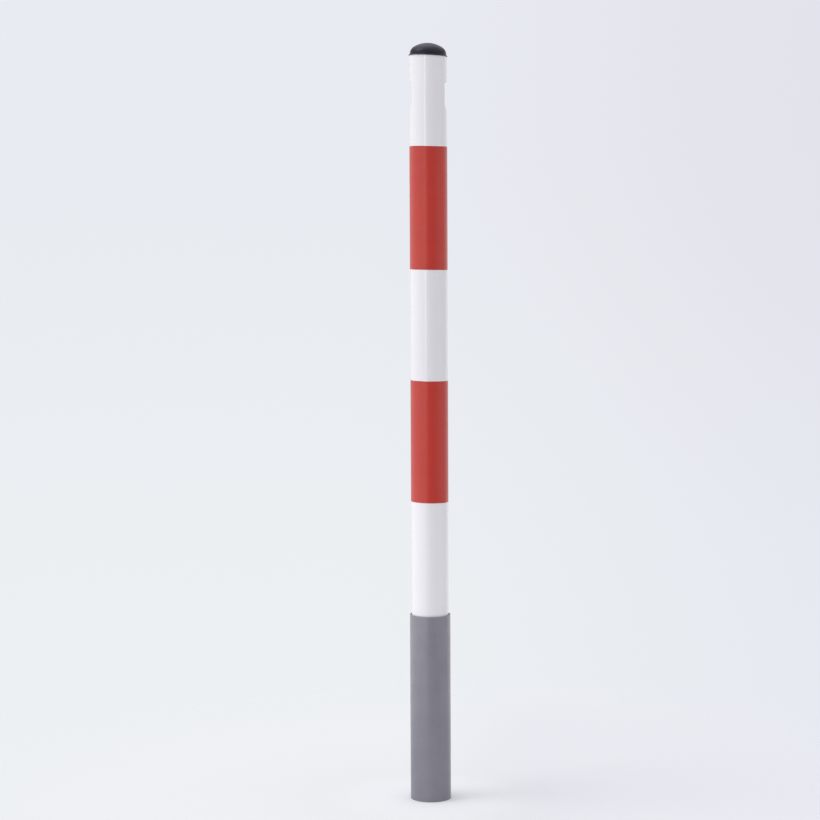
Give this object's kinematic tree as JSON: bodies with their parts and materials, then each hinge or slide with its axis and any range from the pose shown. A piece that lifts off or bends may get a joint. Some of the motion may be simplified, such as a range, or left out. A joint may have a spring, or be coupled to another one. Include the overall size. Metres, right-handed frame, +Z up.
{
  "type": "steel safety bollard",
  "caption": "Slim white steel barrier post with red bands and a domed cap, standing loose in a ground sleeve that it lifts out of.",
  "frame": {"origin": "centre of the ground sleeve's foot, on the axis of the post", "axes": "+Z up along the post; X runs across the two grip recesses; the seams of the film bands face +Y"},
  "size_m": [0.066, 0.066, 1.228],
  "materials": {
    "grey_paint": "satin",
    "bare_steel": "dull",
    "weld_metal": "rough",
    "foot_plastic": "matte",
    "white_paint": "gloss",
    "red_film": "semi-gloss",
    "cap_plastic": "satin"
  },
  "bodies": {
    "sleeve": {"ground_sleeve": "grey_paint", "sleeve_floor_plate": "bare_steel", "floor_plate_weld": "weld_metal"},
    "foot": {"foot_plug": "foot_plastic"},
    "post": {"post_tube": "white_paint", "upper_red_band": "red_film", "lower_red_band": "red_film", "end_cap": "cap_plastic"}
  },
  "joints": [
    {"name": "post_lift", "type": "slide", "parent": "sleeve", "child": "foot", "axis": [0, 0, 1], "range_m": [0, 0.32]},
    {"name": "post_turn", "type": "hinge", "parent": "foot", "child": "post", "pos_m": [0, 0, 0.007], "axis": [0, 0, 1], "continuous": true}
  ]
}
